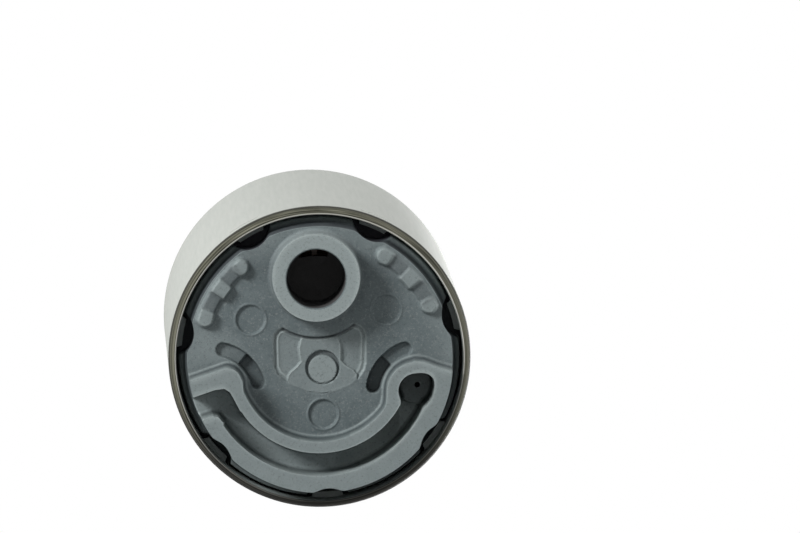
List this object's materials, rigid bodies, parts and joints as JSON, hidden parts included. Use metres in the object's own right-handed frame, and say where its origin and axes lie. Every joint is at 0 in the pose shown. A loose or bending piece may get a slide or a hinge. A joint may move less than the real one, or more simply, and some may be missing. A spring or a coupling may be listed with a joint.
{
  "type": "in-tank fuel pump",
  "caption": "Cylindrical in-tank turbine fuel pump: steel can, die-cast inlet cover with tower and gutter, and a moulded outlet cover with hose spigot and plug socket.",
  "frame": {"origin": "on the pump's axis, in the plane of the tips of the inlet tower and the gutter wall, on which it stands", "axes": "+Z along the axis from the inlet end to the outlet end, +Y towards the inlet tower and the plug socket"},
  "size_m": [0.038, 0.038, 0.0844],
  "materials": {
    "can_steel": "satin zinc-plated steel",
    "cast_metal": "as cast, fine grained",
    "shaft_steel": "ground",
    "spring_steel": "bright",
    "bronze": "sintered",
    "brass": "stamped",
    "copper": "drawn",
    "core_steel": "laminated",
    "copper_winding": "enamelled",
    "insulator": "moulded",
    "phenolic": "moulded",
    "carbon": "pressed carbon",
    "ferrite": "sintered",
    "black_plastic": "moulded, slightly grained",
    "white_plastic": "moulded",
    "seal_rubber": "matt"
  },
  "bodies": {
    "housing": {"motor_can": "can_steel", "inlet_cover": "cast_metal", "thrust_pad": "shaft_steel", "pump_body": "cast_metal", "lower_bearing": "bronze", "magnet_left": "ferrite", "magnet_right": "ferrite", "magnet_clip_front": "spring_steel", "magnet_clip_back": "spring_steel", "outlet_cover": "black_plastic", "cover_seal": "seal_rubber", "upper_bearing": "bronze", "bearing_clip": "spring_steel", "brush_spring_left": "spring_steel", "brush_spring_right": "spring_steel", "brush_lead_left": "copper", "brush_lead_right": "copper", "brush_strap_left": "brass", "brush_strap_right": "brass", "choke_core_left": "ferrite", "choke_core_right": "ferrite", "choke_coil_left": "copper_winding", "choke_coil_right": "copper_winding", "terminal_left": "brass", "terminal_right": "brass", "check_spring": "spring_steel", "check_cap": "white_plastic", "relief_spring": "spring_steel", "relief_cap": "brass"},
    "rotor": {"rotor_shaft": "shaft_steel", "impeller": "phenolic", "armature_core": "core_steel", "armature_winding": "copper_winding", "lower_insulator": "insulator", "upper_insulator": "insulator", "commutator_base": "phenolic", "commutator_hooks": "copper", "commutator_segments": "carbon"},
    "brush_left_body": {"brush_left": "carbon"},
    "brush_right_body": {"brush_right": "carbon"},
    "check_valve_body": {"check_valve": "white_plastic"},
    "relief_ball_body": {"relief_ball": "shaft_steel"}
  },
  "joints": [
    {"name": "rotor_spin", "type": "hinge", "parent": "housing", "child": "rotor", "pos_m": [0, 0, 0.03], "axis": [0, 0, 1], "continuous": true},
    {"name": "brush_left_slide", "type": "slide", "parent": "housing", "child": "brush_left_body", "axis": [0, 0, 1], "range_m": [0, 0.002], "stiffness_N_per_m": 100, "deforming": ["brush_spring_left", "brush_lead_left"]},
    {"name": "brush_right_slide", "type": "slide", "parent": "housing", "child": "brush_right_body", "axis": [0, 0, 1], "range_m": [0, 0.002], "stiffness_N_per_m": 100, "deforming": ["brush_spring_right", "brush_lead_right"]},
    {"name": "check_valve_slide", "type": "slide", "parent": "housing", "child": "check_valve_body", "axis": [0, 0, 1], "range_m": [0, 0.0015], "stiffness_N_per_m": 60, "deforming": ["check_spring"]},
    {"name": "relief_ball_slide", "type": "slide", "parent": "housing", "child": "relief_ball_body", "axis": [0, 0, 1], "range_m": [0, 0.0008], "stiffness_N_per_m": 800, "deforming": ["relief_spring"]}
  ]
}
